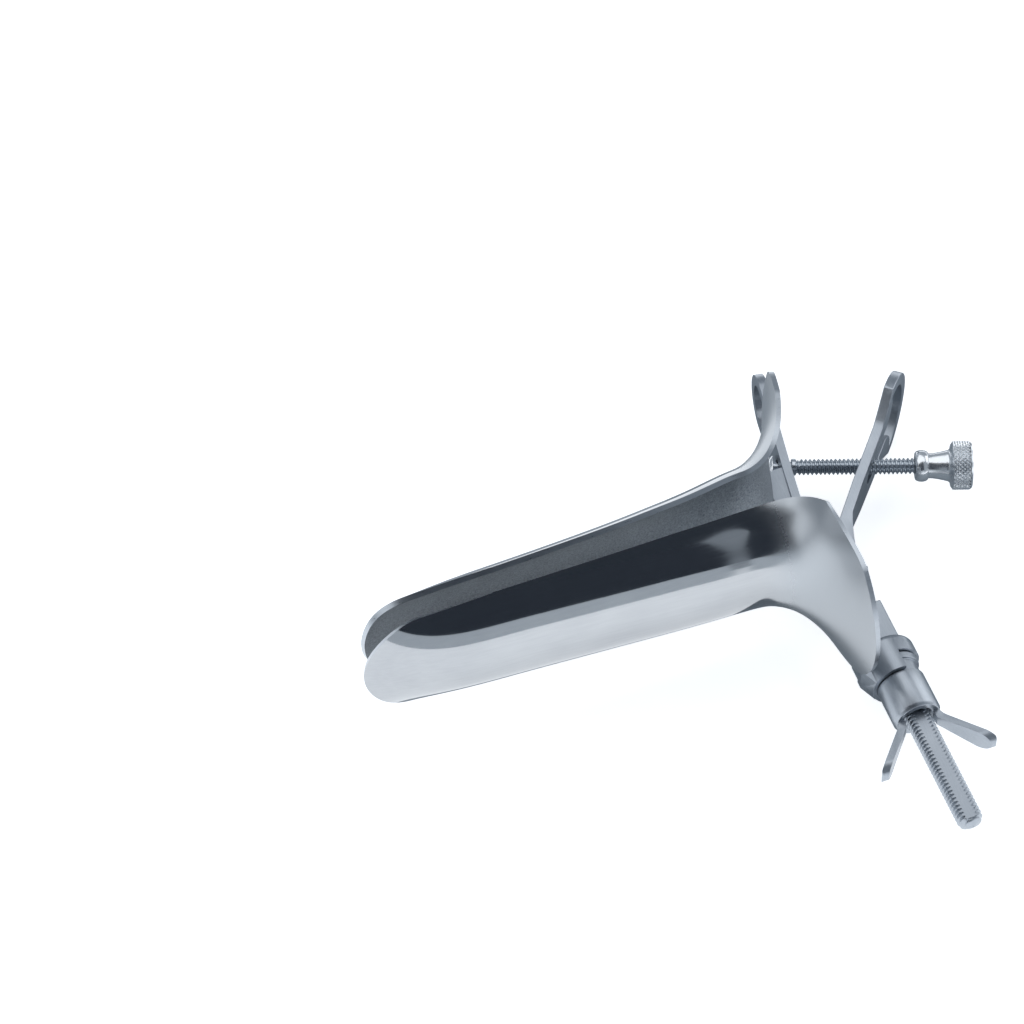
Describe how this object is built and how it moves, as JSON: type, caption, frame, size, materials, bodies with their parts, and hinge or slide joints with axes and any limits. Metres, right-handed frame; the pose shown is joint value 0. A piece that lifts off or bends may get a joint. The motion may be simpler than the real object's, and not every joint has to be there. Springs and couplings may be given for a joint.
{
  "type": "bivalve speculum",
  "caption": "Bivalve speculum with two spoon-tipped trough blades, finger levers on one side, a sliding post with wing nut and a cross screw with thumb nut.",
  "frame": {"origin": "centre of the main hinge, midway through the flat guide block's thickness", "axes": "+X from the blade tips to the levers, +Y from the lower to the upper blade along the post, +Z from the mechanism to the open side of the mouth"},
  "size_m": [0.1576, 0.1345, 0.0559],
  "materials": {
    "satin_steel": "satin",
    "polished_steel": "mirror polished outside, satin inside",
    "blasted_steel": "bead blasted inside, satin outside",
    "thread_steel": "turned thread",
    "knurled_steel": "turned and knurled"
  },
  "bodies": {
    "frame": {"slide_post": "satin_steel", "rear_lever": "satin_steel", "hinge_pin": "satin_steel"},
    "lower_half": {"lower_blade": "polished_steel", "slide_collar": "satin_steel"},
    "height_nut": {"wing_nut": "satin_steel", "nut_wings": "satin_steel"},
    "upper_half": {"upper_blade": "blasted_steel", "front_lever": "satin_steel", "blade_bracket": "satin_steel"},
    "cross_screw": {"clamp_rod": "thread_steel", "rod_rivet": "satin_steel", "rod_end_cap": "satin_steel"},
    "stop_nut": {"thumb_nut": "knurled_steel"}
  },
  "joints": [
    {"name": "height_slide", "type": "slide", "parent": "frame", "child": "lower_half", "axis": [0, -1, 0], "range_m": [-0.0025, 0.025]},
    {"name": "height_turn", "type": "hinge", "parent": "lower_half", "child": "height_nut", "pos_m": [0, -0.033, 0], "axis": [0, -1, 0], "range_deg": [-901, 9001]},
    {"name": "tip_opening", "type": "hinge", "parent": "frame", "child": "upper_half", "pos_m": [0, 0, 0], "axis": [0, 0, -1], "range_deg": [-0.4, 14]},
    {"name": "screw_swing", "type": "hinge", "parent": "upper_half", "child": "cross_screw", "pos_m": [-0.00161, 0.03721, 0], "axis": [0, 0, 1], "range_deg": [-4, 6]},
    {"name": "stop_travel", "type": "slide", "parent": "cross_screw", "child": "stop_nut", "axis": [-0.9403, 0.3404, 0], "range_m": [0, 0.007]}
  ],
  "couplings": [
    {"joint": "height_turn", "follows": "height_slide", "rad_per_m": 6283.2}
  ]
}
